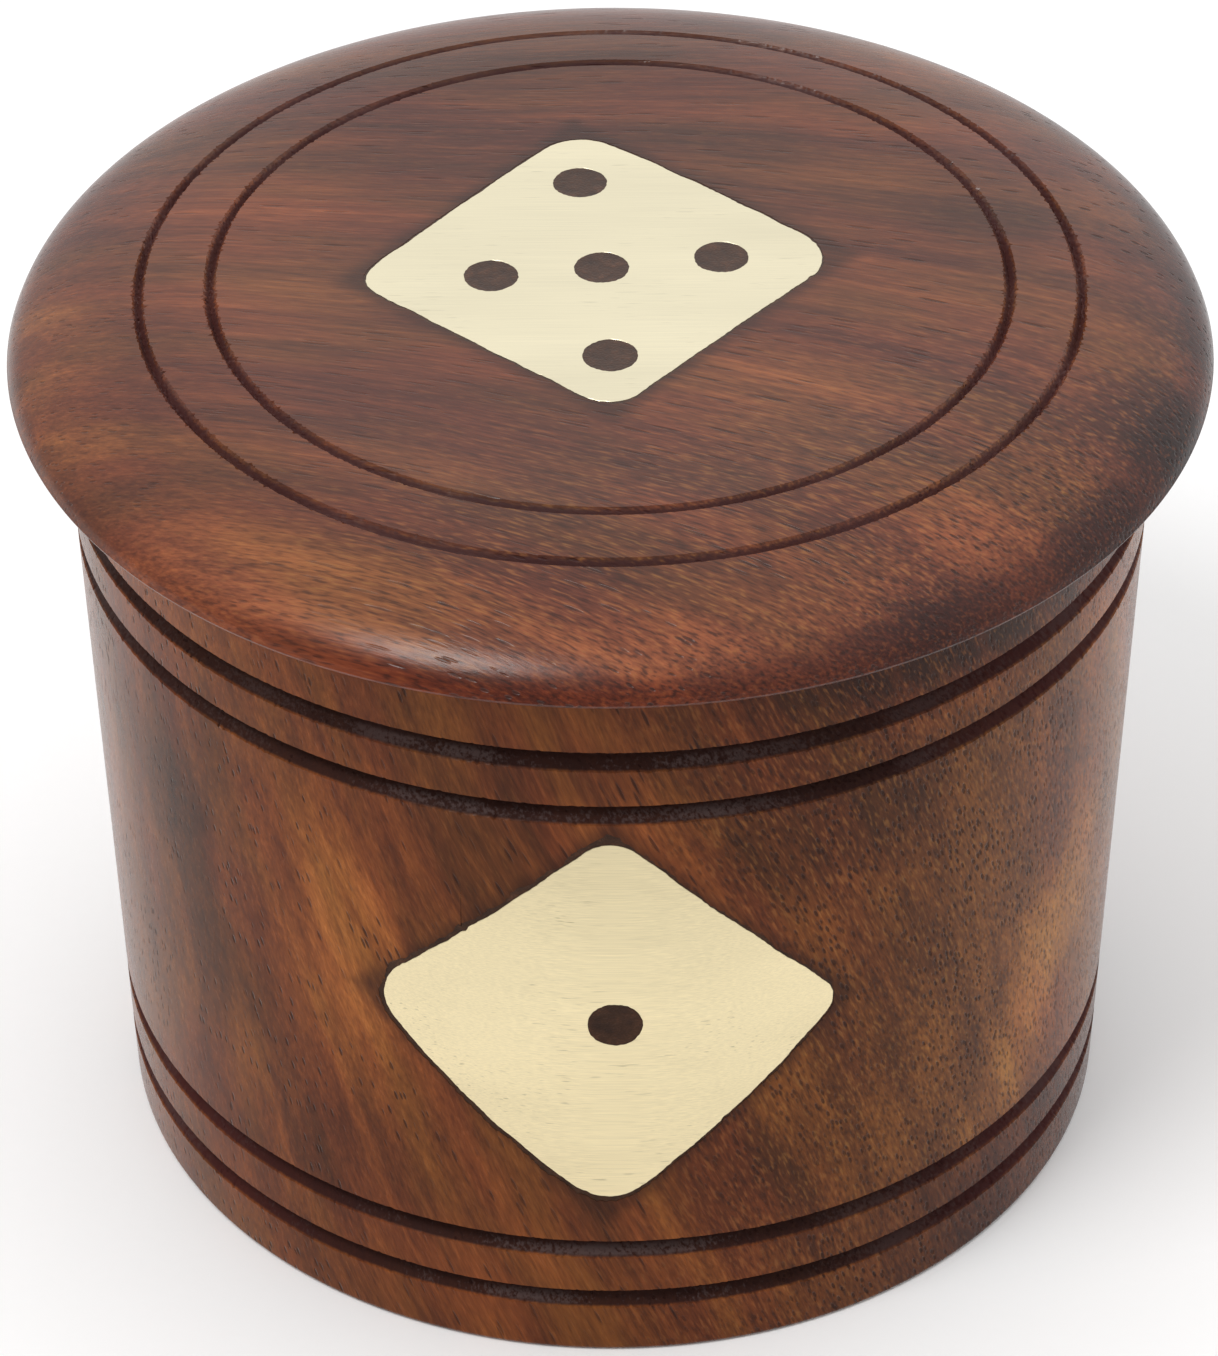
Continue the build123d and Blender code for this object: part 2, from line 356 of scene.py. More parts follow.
def rounded_outline(corners, rounds, bows):
    """Points round a four-sided plate: rounded corners, and sides that bow out by a little."""
    corners = [np.array(corner, float) for corner in corners]
    count = len(corners)
    arcs = []
    for i, corner in enumerate(corners):
        before = corners[i - 1] - corner
        after = corners[(i + 1) % count] - corner
        before /= np.linalg.norm(before)
        after /= np.linalg.norm(after)
        half = math.acos(float(before @ after)) / 2
        inward = (before + after) / np.linalg.norm(before + after)
        centre = corner + inward * rounds[i] / math.sin(half)
        outward = math.atan2(-inward[1], -inward[0])
        spread = math.pi / 2 - half
        steps = max(8, round(2 * spread * rounds[i] / OUTLINE_STEP))
        turns = outward + np.linspace(-spread, spread, steps)
        arcs.append(centre + rounds[i] * np.stack([np.cos(turns), np.sin(turns)], axis=1))
    points = []
    for i in range(count):
        points.extend(arcs[i])
        start, end = arcs[i][-1], arcs[(i + 1) % count][0]
        side = end - start
        length = np.linalg.norm(side)
        outward = np.array([side[1], -side[0]]) / length
        steps = max(4, round(length / OUTLINE_STEP))
        for share in np.linspace(0, 1, steps)[1:-1]:
            points.append(start + side * share + outward * bows[i] * 4 * share * (1 - share))
    return np.array(points)


def circle_outline(centre, radius, steps):
    """Points round a circle."""
    turns = np.linspace(0, 2 * math.pi, steps, endpoint=False)
    return np.array(centre) + radius * np.stack([np.cos(turns), np.sin(turns)], axis=1)


def outward_normals(outline):
    """Outward unit normals of an anticlockwise outline."""
    along = np.roll(outline, -1, axis=0) - np.roll(outline, 1, axis=0)
    along /= np.linalg.norm(along, axis=1)[:, None]
    return np.stack([along[:, 1], -along[:, 0]], axis=1)


def spread_outline(outline, amounts):
    """Move an outline outwards by one amount or by one for each point."""
    return outline + outward_normals(outline) * np.reshape(amounts, (-1, 1))


def nick(outline, place, size):
    """Push the outline in near one place, as a slip of the saw does."""
    distance = np.linalg.norm(outline - np.array(place), axis=1)
    reach = 1.6 * size
    return spread_outline(outline, -size * np.exp(-((distance / reach) ** 2)))


# ---------- flat and bent pieces ----------
BED_GAP = 0.01  # between the filler and what it touches
STRIP_WIDTH = 0.6  # a piece is cut into strips this wide before it is bent
SANDED_EDGE = 0.025
FILLER_SINK = 0.03  # how far the filler lies below the surface
PIP_SINK = 0.015
PIP_DISH = 0.04


def on_lid(u, v, h):
    """A place on top of the lid: u to the right, v to the back, h above the surface."""
    return (u, v, TOTAL_HEIGHT + h)


def on_wall(u, v, h):
    """A place on the front of the wall: u round it, v up it, h out of the surface."""
    angle = u / BEND_RADIUS
    radius = wall_radius(v) + h
    return (radius * math.sin(angle), -radius * math.cos(angle), v)


def add_loop(bm, outline, height):
    """A closed ring of vertices and edges at one height."""
    verts = [bm.verts.new((u, v, height)) for u, v in outline]
    edges = [bm.edges.new((a, b)) for a, b in zip(verts, verts[1:] + verts[:1])]
    return verts, edges


def fill(bm, *regions):
    """Triangles over regions, each given as the edges of its rings, which lie at one height."""
    for edges in regions:
        bmesh.ops.triangle_fill(bm, use_beauty=True, use_dissolve=False, edges=edges)


def slice_for_bend(bm):
    """Cut the piece into narrow upright strips, so that it can bend round the wall."""
    us = [v.co.x for v in bm.verts]
    u = min(us) + STRIP_WIDTH
    while u < max(us):
        geometry = bm.verts[:] + bm.edges[:] + bm.faces[:]
        bmesh.ops.bisect_plane(bm, geom=geometry, plane_co=(u, 0, 0), plane_no=(1, 0, 0))
        u += STRIP_WIDTH


def place_on(surface, name, bm, sharp_degrees):
    """Lay a flat piece on the lid or bend it round the wall, and make an object of it."""
    if surface is on_wall:
        slice_for_bend(bm)
    for vert in bm.verts:
        vert.co = surface(*vert.co)
    return make_object(name, bm, sharp_degrees)


def plate(name, outline, holes, surface):
    """A plate flush with the surface, its upper edges softened by sanding."""
    bm = bmesh.new()
    tops, bottoms = [], []
    for ring, inward in [(outline, -1)] + [(hole, 1) for hole in holes]:
        # a hole's outline is anticlockwise too, so its wood side is outwards
        softened, top_edges = add_loop(bm, spread_outline(ring, inward * SANDED_EDGE), 0)
        shoulder, _ = add_loop(bm, ring, -SANDED_EDGE * 0.8)
        foot, foot_edges = add_loop(bm, ring, -PLATE_THICKNESS)
        bridge(bm, shoulder, softened)
        bridge(bm, foot, shoulder)
        tops += top_edges
        bottoms += foot_edges
    fill(bm, tops, bottoms)
    return place_on(surface, name, bm, sharp_degrees=20)


def filler_tray(name, outline, plate_line, surface):
    """The filler bed: a tray as deep as the pocket that holds the plate, its rim just sunk."""
    bm = bmesh.new()
    seat = spread_outline(plate_line, BED_GAP)
    outer_top, outer_edges = add_loop(bm, outline, -FILLER_SINK)
    outer_foot, foot_edges = add_loop(bm, outline, -POCKET_DEPTH + BED_GAP)
    inner_top, inner_edges = add_loop(bm, seat, -FILLER_SINK * 1.4)
    inner_foot, bed_edges = add_loop(bm, seat, -PLATE_THICKNESS - BED_GAP)
    bridge(bm, outer_foot, outer_top)
    bridge(bm, inner_top, inner_foot)
    fill(bm, outer_edges + inner_edges, foot_edges, bed_edges)
    return place_on(surface, name, bm, sharp_degrees=50)


def pocket_cutter(outline, surface):
    """The solid that is cut out of the wood to take an inlay."""
    bm = bmesh.new()
    above = 2
    top, top_edges = add_loop(bm, outline, above)
    foot, foot_edges = add_loop(bm, outline, -POCKET_DEPTH)
    bridge(bm, foot, top)
    fill(bm, top_edges, foot_edges)
    return place_on(surface, "pocket", bm, sharp_degrees=35)


def plug(name, centre, outline, surface):
    """A pip: a plug of filler, a little sunk and dished by polishing."""
    bm = bmesh.new()
    foot, foot_edges = add_loop(bm, outline, -PLATE_THICKNESS + BED_GAP)
    below, _ = add_loop(bm, outline, -PIP_SINK)
    bridge(bm, foot, below)
    fill(bm, foot_edges)
    for share in (0.96, 0.85, 0.7, 0.5, 0.3, 0.12):
        height = -PIP_SINK - PIP_DISH * (1 - share**2)
        ring, _ = add_loop(bm, centre + (outline - centre) * share, height)
        bridge(bm, below, ring)
        below = ring
    bm.faces.new(below)
    return place_on(surface, name, bm, sharp_degrees=50)


# ---------- the inlays ----------
# The plates were sawn by hand: four corners, right, back or top, left, and front or bottom.
LID_PLATE_CORNERS = ((17.3, 2.5), (-2.6, 19.8), (-18.9, -0.7), (0.2, -17.35))
LID_PLATE_ROUNDS = (4.1, 3.5, 2.8, 2.8)
LID_PLATE_BOWS = (0.26, 0.13, 0.02, -0.11)
LID_PLATE_NICKS = (((14.6, -0.4), 0.22), ((15.2, 4.4), 0.14))
FRONT_PLATE_CORNERS = ((17.25, 33.4), (-0.1, 51.8), (-18.7, 33.8), (-0.5, 14.6))
FRONT_PLATE_ROUNDS = (2.3, 2.7, 3.7, 3.7)
FRONT_PLATE_BOWS = (0.02, -0.02, 0.35, 0.22)
FRONT_PLATE_NICKS = (((-10.6, 41.6), 0.16), ((8.4, 23.4), 0.20), ((-2.2, 16.6), 0.14))
SAWN_AMOUNT = 0.05  # how far a hand-sawn edge strays
NARROWEST_FILLER = 0.08
PIP_STEPS = 96


def sawn_plate(rng, corners, rounds, bows, nicks):
    """The outline of a plate, with the small unevenness of a hand-sawn and filed edge."""
    outline = rounded_outline(corners, rounds, bows)
    count = len(outline)
    slow = ring_noise(rng, count, 5, 30)
    quick = ring_noise(rng, count, 40, 180)
    outline = spread_outline(outline, SAWN_AMOUNT * (0.6 * slow + 0.25 * quick))
    for place, size in nicks:
        outline = nick(outline, place, size)
    return outline


def filler_line(outline, rng, width_at):
    """The edge of the pocket: outside the plate by a width that depends on the side."""
    outward = outward_normals(outline)
    widths = np.array([width_at(u, v) for u, v in outward])
    count = len(outline)
    uneven = 0.22 * ring_noise(rng, count, 6, 40) + 0.10 * ring_noise(rng, count, 60, 200)
    return spread_outline(outline, np.clip(widths * (1 + uneven), NARROWEST_FILLER, None))


def pip_hole(rng, centre):
    """The slightly uneven outline of a pip's hole."""
    slow = ring_noise(rng, PIP_STEPS, 2, 7)
    quick = ring_noise(rng, PIP_STEPS, 8, 30)
    circle = circle_outline(centre, PIP_RADIUS, PIP_STEPS)
    return spread_outline(circle, 0.015 * slow + 0.012 * quick)


def make_inlay(prefix, seed, plate_line, pocket_line, pips, surface):
    """Plate, filler and pips of one inlay, and the cutter for its pocket."""
    rng = np.random.default_rng(seed)
    pieces = {}
    holes = []
    for name, centre in pips.items():
        hole = pip_hole(rng, centre)
        holes.append(hole)
        pieces[name] = plug(f"{name}_plug", np.array(centre), hole, surface)
    pieces[f"{prefix}_plate"] = plate(f"{prefix}_plate_sawn", plate_line, holes, surface)
    bed = filler_tray(f"{prefix}_filler_bed", pocket_line, plate_line, surface)
    pieces[f"{prefix}_filler"] = bed
    return pieces, pocket_cutter(pocket_line, surface)


def make_lid_inlay():
    """The inlay on the lid, with five pips."""
    rng = np.random.default_rng(5)
    line = sawn_plate(rng, LID_PLATE_CORNERS, LID_PLATE_ROUNDS, LID_PLATE_BOWS, LID_PLATE_NICKS)
    pocket = filler_line(line, rng, lambda u, v: 0.17 - 0.06 * v)
    pips = {}
    for side in ("centre", "back", "left", "right", "front"):
        spot = middle_mm(f"lid_pip_{side}")
        pips[f"lid_pip_{side}"] = (spot.x, spot.y)
    return make_inlay("lid_inlay", 9, line, pocket, pips, on_lid)


def make_front_inlay():
    """The inlay on the wall, with one pip."""
    rng = np.random.default_rng(6)
    line = sawn_plate(
        rng, FRONT_PLATE_CORNERS, FRONT_PLATE_ROUNDS, FRONT_PLATE_BOWS, FRONT_PLATE_NICKS
    )
    pocket = filler_line(line, rng, lambda u, v: 0.26 - 0.13 * u + 0.36 * v**6)
    spot = middle_mm("front_pip")
    pips = {"front_pip": (spot.x, spot.z)}
    return make_inlay("front_inlay", 11, line, pocket, pips, on_wall)


# ---------- dice ----------
def pip_places(number):
    """Where the pips of a number sit on a face."""
    near, far = -DIE_PIP_STEP, DIE_PIP_STEP
    places = [(0, 0)] if number % 2 else []
    if number > 1:
        places += [(near, near), (far, far)]
    if number > 3:
        places += [(near, far), (far, near)]
    if number == 6:
        places += [(near, 0), (far, 0)]
    return places


# place on the floor, turn about Z, and the numbers on top, in front and on the right
DICE = (
    ((-18.5, -3.5), 38.0, (5, 4, 1)),
    ((-5.5, -16.5), 36.0, (1, 2, 3)),
    ((14.5, -10.5), 12.0, (6, 3, 2)),
    ((12.0, 12.0), -18.0, (4, 1, 5)),
    ((-10.0, 16.0), -20.0, (3, 2, 6)),
)


def die_frame(place, turn):
    """From a die's own axes, with its centre at the origin, to its place in the cup."""
    centre = Vector((*place, FLOOR_HEIGHT + DIE_SIZE / 2))
    return Matrix.Translation(centre) @ Matrix.Rotation(math.radians(turn), 4, "Z")


def face_frames(numbers):
    """Each number of a die, with the matrix that takes +Z to the face's outward normal."""
    top, front, right = numbers
    quarter = math.pi / 2
    out = Matrix.Translation((0, 0, DIE_SIZE / 2))
    faces = []
    for number, angle, axis in ((top, 0, "X"), (front, quarter, "X"), (right, quarter, "Y")):
        faces.append((number, Matrix.Rotation(angle, 4, axis) @ out))
        faces.append((7 - number, Matrix.Rotation(angle - math.pi, 4, axis) @ out))
    return faces


def add_pin(bm, matrix, rings, steps=28):
    """A round pin from a list of radii and heights, closed at both ends."""
    turns = [2 * math.pi * step / steps for step in range(steps)]
    rows = []
    for radius, height in rings:
        points = [(radius * math.cos(turn), radius * math.sin(turn), height) for turn in turns]
        rows.append([bm.verts.new(matrix @ Vector(point)) for point in points])
    for lower, upper in zip(rows, rows[1:]):
        bridge(bm, lower, upper)
    bm.faces.new(rows[0])
    bm.faces.new(rows[-1])


def make_die(index, place, turn, numbers):
    """A die and its pins: a softened wooden cube, drilled, with brass pins filed flush."""
    seat = die_frame(place, turn)
    rng = np.random.default_rng(40 + index)
    cube = bmesh.new()
    bmesh.ops.create_cube(cube, size=DIE_SIZE)
    bmesh.ops.bevel(
        cube, geom=cube.edges[:], offset=DIE_ROUND, segments=7, profile=0.5, affect="EDGES"
    )
    pins, drills = bmesh.new(), bmesh.new()
    radius = DIE_PIP_RADIUS
    slip_size, gap, softening, crown = 0.06, 0.05, 0.05, 0.04
    pin = (
        (radius, -DIE_PIP_DEPTH),
        (radius, -softening),
        (radius - softening, 0.0),
        (radius * 0.6, crown * 0.7),
        (radius * 0.2, crown),
    )
    drill = ((radius + gap, -DIE_PIP_DEPTH - gap), (radius + gap, 1))
    for number, face in face_frames(numbers):
        for u, v in pip_places(number):
            slip = rng.normal(0, slip_size, 2)
            spot = seat @ face @ Matrix.Translation((u + slip[0], v + slip[1], 0))
            add_pin(pins, spot, pin)
            add_pin(drills, spot, drill)
    cube.transform(seat)
    body = make_object(f"die_{index}_cube", cube, sharp_degrees=60)
    carve(body, make_object("drills", drills), sharp_degrees=60)
    return body, make_object(f"die_{index}_pins", pins, sharp_degrees=50)


# ---------- writing materials ----------
def srgb(red, green, blue):
    """A colour given as 0 to 255, as the linear colour that shaders use."""
    linear = []
    for channel in (red, green, blue):
        value = channel / 255
        linear.append(value / 12.92 if value <= 0.04045 else ((value + 0.055) / 1.055) ** 2.4)
    return (*linear, 1.0)


class Wire:
    """A shader output that adds, multiplies and so on like a number."""

    def __init__(self, shader, socket):
        self.shader = shader
        self.socket = socket

    def __add__(self, other):
        return self.shader.math("ADD", self, other)

    def __sub__(self, other):
        return self.shader.math("SUBTRACT", self, other)

    def __rsub__(self, other):
        return self.shader.math("SUBTRACT", other, self)

    def __mul__(self, other):
        return self.shader.math("MULTIPLY", self, other)

    __radd__ = __add__
    __rmul__ = __mul__


class Shader:
    """A material made of nodes. Numbers and colours are set on sockets, and wires are linked."""

    def __init__(self, name):
        self.material = bpy.data.materials.new(name)
        self.material.use_nodes = True
        self.tree = self.material.node_tree
        self.surface = self.tree.nodes["Principled BSDF"]
        here = self.add("TexCoord", out="Object")
        self.place = self.add("VectorMath", here, operation="SCALE")
        self.set_inputs(self.place.socket.node, Scale=1 / MM)

    def put(self, socket, value):
        """Link a wire to a socket, or set a number or colour on it."""
        if isinstance(value, Wire):
            self.tree.links.new(value.socket, socket)
        elif value is not None:
            socket.default_value = value

    def set_inputs(self, node, **values):
        """Link or set inputs by name, with underscores for spaces."""
        for name, value in values.items():
            self.put(node.inputs[name.replace("_", " ")], value)

    def add(self, kind, *values, out=0, **settings):
        """A node with its inputs in order, as a wire from one of its outputs."""
        node = self.tree.nodes.new("ShaderNode" + kind)
        for key, value in settings.items():
            setattr(node, key, value)
        for socket, value in zip(node.inputs, values):
            self.put(socket, value)
        return Wire(self, node.outputs[out])

    def math(self, operation, *values):
        """Arithmetic on wires and numbers."""
        return self.add("Math", *values, operation=operation)

    def split(self, vector):
        """The three parts of a vector."""
        node = self.add("SeparateXYZ", vector).socket.node
        return [Wire(self, output) for output in node.outputs]

    def join(self, x, y, z=0.0):
        """A vector from three parts."""
        return self.add("CombineXYZ", x, y, z)

    def along(self, vector, axis):
        """How far a vector reaches along an axis."""
        return self.add("VectorMath", vector, axis, operation="DOT_PRODUCT", out="Value")

    def rise(self, value, low, high, start=0.0, end=1.0):
        """A smooth step from start to end as the value goes from low to high."""
        return self.add("MapRange", value, low, high, start, end, interpolation_type="SMOOTHSTEP")

    def noise(self, vector, detail=2.0, roughness=0.5, distortion=0.0):
        """Noise with features about one unit long, centred on zero, about -0.5 to 0.5."""
        node = self.add("TexNoise", vector).socket.node
        self.set_inputs(node, Scale=1.0, Detail=detail, Roughness=roughness, Distortion=distortion)
        return Wire(self, node.outputs["Fac"]) - 0.5

    def cells(self, vector):
        """Distance to the nearest of points scattered about one to a unit cube."""
        node = self.add("TexVoronoi", vector).socket.node
        self.set_inputs(node, Scale=1.0)
        return Wire(self, node.outputs["Distance"])

    def ramp(self, value, *stops):
        """A colour from a list of places and colours, each colour given as 0 to 255."""
        wire = self.add("ValToRGB", value)
        band = wire.socket.node.color_ramp
        for _ in stops[2:]:
            band.elements.new(0.5)
        for element, (place, colour) in zip(band.elements, stops):
            element.position = place
            element.color = srgb(*colour)
        return wire

    def mix(self, share, a, b, blend="MIX"):
        """Mix two colours, which go into inputs 6 and 7 and come out of output 2."""
        wire = self.add("Mix", share, data_type="RGBA", blend_type=blend, out=2)
        self.put(wire.socket.node.inputs[6], a)
        self.put(wire.socket.node.inputs[7], b)
        return wire

    def tint(self, colour, brightness):
        """A colour made lighter or darker."""
        return self.mix(1.0, colour, self.join(brightness, brightness, brightness), "MULTIPLY")

    def blob(self, flat, centre, size, turn):
        """A soft oval spot: 1 in the middle, 0 at its edge."""
        rotation = (0, 0, math.radians(turn))
        local = self.add(
            "Mapping", flat, (*centre, 0), rotation, (*size, 1), vector_type="TEXTURE"
        )
        near = self.add("TexGradient", local, gradient_type="SPHERICAL", out="Fac")
        return self.rise(near, 0.0, 0.85)

    def bump(self, height, depth):
        """Surface relief: height 0 to 1 stands for a depth in millimetres."""
        wire = self.add("Bump", out="Normal")
        self.set_inputs(wire.socket.node, Distance=depth * MM, Height=height)
        return wire

    def finish(self, colour, roughness, normal=None, **constants):
        """Fill in the surface's inputs."""
        self.set_inputs(self.surface, Base_Color=colour, Roughness=roughness, Normal=normal, **constants)
        return self.material


# ---------- wood ----------
class Fibres:
    """A map of the wood as (u, v, w), in which u runs along the fibres."""

    def __init__(self, shader, u, v, w):
        self.shader = shader
        self.map = (u, v, w)

    def shrunk(self, length, width):
        """The map with a length along the fibres, and a width across them, as its units."""
        u, v, w = self.map
        return self.shader.join(u * (1 / length), v * (1 / width), w * (1 / width))

    def noise(self, length, width, detail=2.0, roughness=0.5, distortion=0.0):
        """Noise in streaks of about a length and a width."""
        return self.shader.noise(self.shrunk(length, width), detail, roughness, distortion)

    def pores(self, length, width, size):
        """Open pores: dark dashes along the fibres, 1 inside and 0 outside.

        One pore lies in each cell of a length and width; size is a share of the cell."""
        distance = self.shader.cells(self.shrunk(length, width))
        return self.shader.rise(distance, size * 0.6, size * 1.2, 1.0, 0.0)


def wandering_fibres(shader, vector, along, across, deep, wander):
    """Fibres that run along an axis and wander a little to the sides."""
    u = shader.along(vector, along)
    slow = shader.add("VectorMath", vector, (0.022, 0.03, 0.022), operation="MULTIPLY")
    v = shader.along(vector, across) + shader.noise(slow, 1.0) * (4 * wander)
    shifted = shader.add("VectorMath", slow, (7.3, 1.9, 4.1), operation="ADD")
    w = shader.along(vector, deep) + shader.noise(shifted, 1.0) * (4 * wander)
    return Fibres(shader, u, v, w)


def sum_of_spots(shader, flat, spots):
    """Soft oval spots on a flat map, each with a centre, a size, a turn and a weight."""
    weighted = [shader.blob(flat, *spot) * weight for *spot, weight in spots]
    return sum(weighted[1:], weighted[0])


# tones that a figure is multiplied by, then plain colours
WHITE = (1.0, 1.0, 1.0, 1.0)
OLIVE = (0.94, 1.10, 1.0, 1.0)
RUDDY = (1.04, 0.95, 0.98, 1.0)
GREENISH = (0.96, 1.05, 0.90, 1.0)
# painted shade low on the lid's rim: dark red, and plum to the right
RIM_SHADE_RED = (0.62, 0.36, 0.28, 1.0)
RIM_SHADE_PLUM = (0.54, 0.38, 0.38, 1.0)
# painted shade low on the cup's right
FOOT_SHADE_RED = (0.52, 0.44, 0.52, 1.0)
# painted shade deep in the grooves, darker and redder
DARK_GROOVE_SHADE = srgb(38, 17, 14)
RED_GROOVE_SHADE = srgb(58, 22, 22)
# dusty grey, and a painted sheen on the grooves' lit lower slopes
DUST_AND_LIGHT = srgb(86, 71, 69)
STAIN = srgb(32, 13, 8)
PORE = srgb(34, 12, 6)
GOLD_FIBRE = srgb(148, 97, 52)
DARK_FIBRE = srgb(56, 29, 20)


def finished_wood(
    shader, fibres, warmth, shades, long_pores, short_pores, groove=0.0,
    groove_shade_colour=DARK_GROOVE_SHADE, dust_and_light=0.0, stain=0.0, flecks=0.25, bare=0.0, marks=0.0,
    tone=WHITE, lacquer=0.3, ior=1.34, sheen=0.0,
):
    """Wood from its figure: warmth picks from the shades, from dark heartwood to golden.

    long_pores and short_pores say how much of each kind of pore shows. groove, dust, stain
    and bare are where the wood is cut and takes the groove_shade_colour, a painted shade; where it
    is dusty, with a painted sheen on lit slopes; where it is darkened by the filler; or where
    it has no lacquer. marks is the height of the turning marks, flecks says how strongly the
    short golden and dark fibres show, and tone multiplies the whole figure, with painted shade
    in it low on the lid's rim and on the cup's right."""
    bands = fibres.noise(46, 3.4, 2, 0.55, 0.5)
    streaks = fibres.noise(20, 1.2, 3, 0.65, 0.3)
    hairline = fibres.noise(8, 0.4, 2, 0.65)
    fibre = fibres.noise(2.4, 0.16, 2, 0.6)
    value = warmth + bands * 0.5 + streaks * 0.36 + hairline * 0.25
    colour = shader.ramp(value, *shades)
    short = fibres.noise(1.25, 0.24, 1)
    colour = shader.tint(colour, fibre * 0.8 + hairline * 0.6 + short * flecks * 1.3 + 1.0)
    golden = shader.rise(short, 0.02, 0.26) * flecks * 0.8
    dark = shader.rise(short, -0.24, -0.03, 1.0, 0.0) * flecks * 1.1
    colour = shader.mix(golden, colour, GOLD_FIBRE)
    colour = shader.mix(dark, colour, DARK_FIBRE)
    # the tone carries painted shade low on the lid's rim and low on the cup's right
    colour = shader.mix(1.0, colour, tone, "MULTIPLY")
    cluster = shader.rise(fibres.noise(14, 5, 2), -0.16, 0.08, 0.35, 1.0)
    long = fibres.pores(5.0, 0.54, 0.23) * cluster * cluster * long_pores
    brief = fibres.pores(1.25, 0.42, 0.33) * cluster * short_pores
    dots = shader.math("MAXIMUM", long, brief)
    colour = shader.mix(dots * 0.8, colour, PORE)
    colour = shader.mix(stain, colour, STAIN)
    # painted shade in the grooves, then a dusty grey with a painted sheen on their lower slopes
    colour = shader.mix(groove, colour, groove_shade_colour)
    colour = shader.mix(dust_and_light, colour, DUST_AND_LIGHT)
    relief = fibre * 0.2 + hairline * 0.15 + marks - dots * 0.9
    normal = shader.bump(relief, 0.05)
    rough = hairline * 0.12 + groove * 0.4 + dots * 0.2 + bare * 0.25 + lacquer
    return shader.finish(colour, rough, normal, IOR=ior, Sheen_Weight=sheen, Sheen_Roughness=0.25)


def turning_marks(shader, radius, height):
    """Fine rings left by the tool, as relief."""
    rings = shader.join(radius * 2.2, height * 2.2)
    return shader.noise(rings, 2.0, 0.7) * 0.8


# shades of each wood from dark heartwood to golden, by warmth
LID_SHADES = (
    (0.0, (42, 21, 17)),
    (0.34, (78, 39, 27)),
    (0.58, (105, 56, 34)),
    (0.8, (136, 77, 44)),
    (1.0, (160, 97, 54)),
)
CUP_SHADES = (
    (0.0, (47, 23, 13)),
    (0.34, (91, 46, 22)),
    (0.58, (121, 66, 30)),
    (0.8, (151, 90, 42)),
    (1.0, (172, 110, 54)),
)
DIE_SHADES = (
    (0.0, (44, 25, 19)),
    (0.4, (84, 47, 31)),
    (0.7, (120, 70, 42)),
    (1.0, (150, 92, 52)),
)
# spots that make the figure warmer or darker: centre, size, turn in degrees, and weight
LID_SPOTS = (
    ((-27, 3), (14, 22), 0, 0.14),
    ((24, 34), (17, 9), -35, 0.16),
    # the next spot warms the front-left rim: partly the wood's colour, partly a painted highlight where
    # the key light falls
    ((-20, -37), (26, 10), -28, 0.30),
    ((8, -41), (18, 8), 8, 0.22),
    ((26, -28), (14, 10), 40, 0.16),
    ((12, -14), (16, 9), -14, 0.20),
    ((0, 17), (34, 7), 0, -0.12),
    ((-5, -28), (9, 4), 0, -0.10),
    ((-41, -8), (7, 20), 10, 0.18),
    ((40, -15), (7, 7), 0, -0.50),
    ((35, -27), (10, 4), 52, -0.25),
    ((43, 6), (7, 16), 0, -0.16),
    ((22, -38), (9, 4), 32, -0.25),
    ((-14, 27), (18, 7), 12, -0.16),
    ((28, 10), (9, 12), 0, -0.14),
    ((2, 28), (16, 6), 0, -0.12),
)
CUP_SPOTS = (
    ((-19, 36), (6, 25), 12, 0.32),
    ((-28, 22), (5, 20), 14, -0.12),
    ((-9, 50), (7, 10), 0, -0.16),
    ((2, 57), (26, 4), 0, -0.14),
    ((-30, 24), (5, 18), 14, 0.16),
    ((-35, 36), (5, 22), 10, -0.26),
    ((-25, 16), (5, 10), 20, -0.16),
    ((16, 50), (14, 10), 0, -0.26),
    ((13, 14), (10, 9), 0, -0.12),
    ((18, 28), (10, 18), -20, -0.12),
    ((38, 24), (8, 20), -24, 0.34),
    ((29, 20), (5, 14), -20, -0.14),
    ((2, 16), (18, 8), 0, -0.06),
    # the next spot lightens the wall's far right edge: a painted reflection
    ((48, 30), (9, 40), 0, 0.16),
    # the next spot darkens the wall just under the lid: a painted shadow of the lid
    ((28, 63), (36, 7), 0, -0.42),
    ((-38, 61), (24, 6), 0, 0.16),
)


def patchy_hue(shader, fibres, length, width):
    """The figure's tone, which changes from ruddy to greenish in patches."""
    patches = shader.rise(fibres.noise(length, width, 2), -0.12, 0.12)
    return shader.mix(patches, RUDDY, GREENISH)


def lid_groove(shader, fibres, radius, z):
    """Where the lid is cut below its rounded top, which is in its grooves, with ragged edges."""
    share = (radius - LID_FLAT_RADIUS) * (1 / (LID_RADIUS - LID_FLAT_RADIUS))
    share = shader.math("MAXIMUM", share, 0)
    top = shader.math("SQRT", shader.math("MAXIMUM", 1.0 - share * share, 0)) * LID_THICKNESS
    depth = top + CUP_HEIGHT - z
    fuzz = fibres.noise(0.8, 0.3, 2, 0.6)
    ragged = depth + fuzz * shader.rise(depth, 0.02, 0.12) * 0.45
    return shader.rise(ragged, 0.08, 0.32)


def lid_tone(shader, fibres, x, z):
    """The lid's tone: painted shade low on the rim, dark red and more purple to the right."""
    # painted shade: the rim is darkened and reddened low down, where it faces out and down
    rim_shade_height = shader.rise(x, 0, 25, 1.9, 3.0) + fibres.noise(6, 2, 2) * 1.5
    rim = shader.rise(z - rim_shade_height, CUP_HEIGHT - 0.6, CUP_HEIGHT + 0.8, 1.0, 0.0)
    rim = rim * shader.rise(x, -32, -12, 0.3, 1.0)
    rim_shade_tone = shader.mix(shader.rise(x, -4, 14), RIM_SHADE_RED, RIM_SHADE_PLUM)
    return shader.mix(rim, patchy_hue(shader, fibres, 24, 9), rim_shade_tone)


